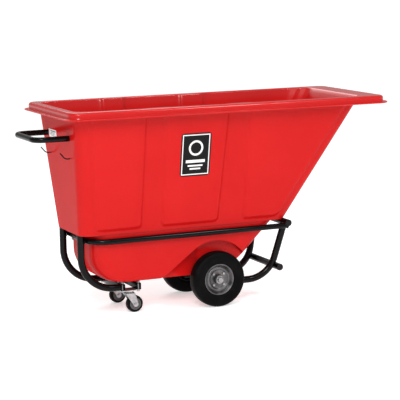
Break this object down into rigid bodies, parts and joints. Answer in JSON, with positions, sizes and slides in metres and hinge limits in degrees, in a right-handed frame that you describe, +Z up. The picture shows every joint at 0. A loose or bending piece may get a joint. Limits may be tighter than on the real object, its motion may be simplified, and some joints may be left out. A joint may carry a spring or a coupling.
{
  "type": "tilt truck",
  "caption": "Wheeled tilt truck: a moulded waste hopper with a pouring lip on a bent-tube frame with main wheels, swivel casters and a push handle.",
  "frame": {"origin": "on the floor, midway between the pouring lip and the back of the handle", "axes": "+X forward to the pouring lip, +Y left, +Z up"},
  "size_m": [1.6715, 0.6608, 0.93],
  "materials": {
    "hopper_plastic": "rotomoulded polyethylene, satin red",
    "plug_plastic": "black polyethylene plug",
    "frame_paint": "glossy black powder coat on steel tube",
    "tyre_rubber": "smooth black rubber",
    "tread_rubber": "black rubber tread",
    "caster_core_plastic": "grey moulded core",
    "bush_plastic": "natural nylon bush",
    "galvanised_rim": "zinc-plated pressed steel",
    "side_sticker_vinyl": null,
    "rear_sticker_vinyl": null,
    "hook_wire": "black coated wire",
    "zinc_plate": "bright zinc-plated pressed steel",
    "bright_steel": "ground steel",
    "insert_nylon": "black nylon insert",
    "fastener_zinc": "zinc-plated steel"
  },
  "bodies": {
    "truck": {"axle": "bright_steel", "axle_caps": "fastener_zinc", "axle_saddle_left": "frame_paint", "axle_saddle_right": "frame_paint", "axle_spacers": "fastener_zinc", "axle_washers": "fastener_zinc", "caster_beam_front": "frame_paint", "caster_beam_rear": "frame_paint", "caster_left_kingpin": "fastener_zinc", "caster_left_plate": "zinc_plate", "caster_plate_bolts": "fastener_zinc", "caster_right_kingpin": "fastener_zinc", "caster_right_plate": "zinc_plate", "front_bow_left": "frame_paint", "front_bow_right": "frame_paint", "handle": "frame_paint", "handle_bolts": "fastener_zinc", "handle_inserts": "insert_nylon", "hook_left": "hook_wire", "hook_nuts": "fastener_zinc", "hook_right": "hook_wire", "hoop_rail": "frame_paint", "hopper": "hopper_plastic", "hopper_bolts": "fastener_zinc", "hopper_nuts": "fastener_zinc", "hopper_spacers": "fastener_zinc", "hopper_tabs": "frame_paint", "rear_bow_left": "frame_paint", "rear_bow_right": "frame_paint", "rear_sticker": "rear_sticker_vinyl", "side_sticker": "side_sticker_vinyl", "tip_bar": "frame_paint", "top_cross_tube": "frame_paint", "tube_plugs": "plug_plastic"},
    "wheel_left": {"wheel_left_bearings": "bright_steel", "wheel_left_hub": "galvanised_rim", "wheel_left_rim_bolts": "fastener_zinc", "wheel_left_rim_inner": "galvanised_rim", "wheel_left_rim_outer": "galvanised_rim", "wheel_left_tyre": "tyre_rubber"},
    "wheel_right": {"wheel_right_bearings": "bright_steel", "wheel_right_hub": "galvanised_rim", "wheel_right_rim_bolts": "fastener_zinc", "wheel_right_rim_inner": "galvanised_rim", "wheel_right_rim_outer": "galvanised_rim", "wheel_right_tyre": "tyre_rubber"},
    "caster_left_swivel": {"caster_left_axle_bolt": "fastener_zinc", "caster_left_balls": "bright_steel", "caster_left_fork": "zinc_plate"},
    "caster_right_swivel": {"caster_right_axle_bolt": "fastener_zinc", "caster_right_balls": "bright_steel", "caster_right_fork": "zinc_plate"},
    "caster_left_wheel": {"caster_left_bush": "bush_plastic", "caster_left_core": "caster_core_plastic", "caster_left_tread": "tread_rubber"},
    "caster_right_wheel": {"caster_right_bush": "bush_plastic", "caster_right_core": "caster_core_plastic", "caster_right_tread": "tread_rubber"}
  },
  "joints": [
    {"name": "wheel_left_spin", "type": "hinge", "parent": "truck", "child": "wheel_left", "pos_m": [0.00908, 0.175, 0.127], "axis": [0, 1, 0], "continuous": true},
    {"name": "caster_left_swivel_turn", "type": "hinge", "parent": "truck", "child": "caster_left_swivel", "pos_m": [-0.39489, 0.105, 0.09], "axis": [0, 0, 1], "continuous": true},
    {"name": "caster_left_wheel_spin", "type": "hinge", "parent": "caster_left_swivel", "child": "caster_left_wheel", "pos_m": [-0.36989, 0.105, 0.038], "axis": [0, 1, 0], "continuous": true},
    {"name": "wheel_right_spin", "type": "hinge", "parent": "truck", "child": "wheel_right", "pos_m": [0.00908, -0.175, 0.127], "axis": [0, 1, 0], "continuous": true},
    {"name": "caster_right_swivel_turn", "type": "hinge", "parent": "truck", "child": "caster_right_swivel", "pos_m": [-0.39489, -0.105, 0.09], "axis": [0, 0, 1], "continuous": true},
    {"name": "caster_right_wheel_spin", "type": "hinge", "parent": "caster_right_swivel", "child": "caster_right_wheel", "pos_m": [-0.36989, -0.105, 0.038], "axis": [0, 1, 0], "continuous": true}
  ]
}
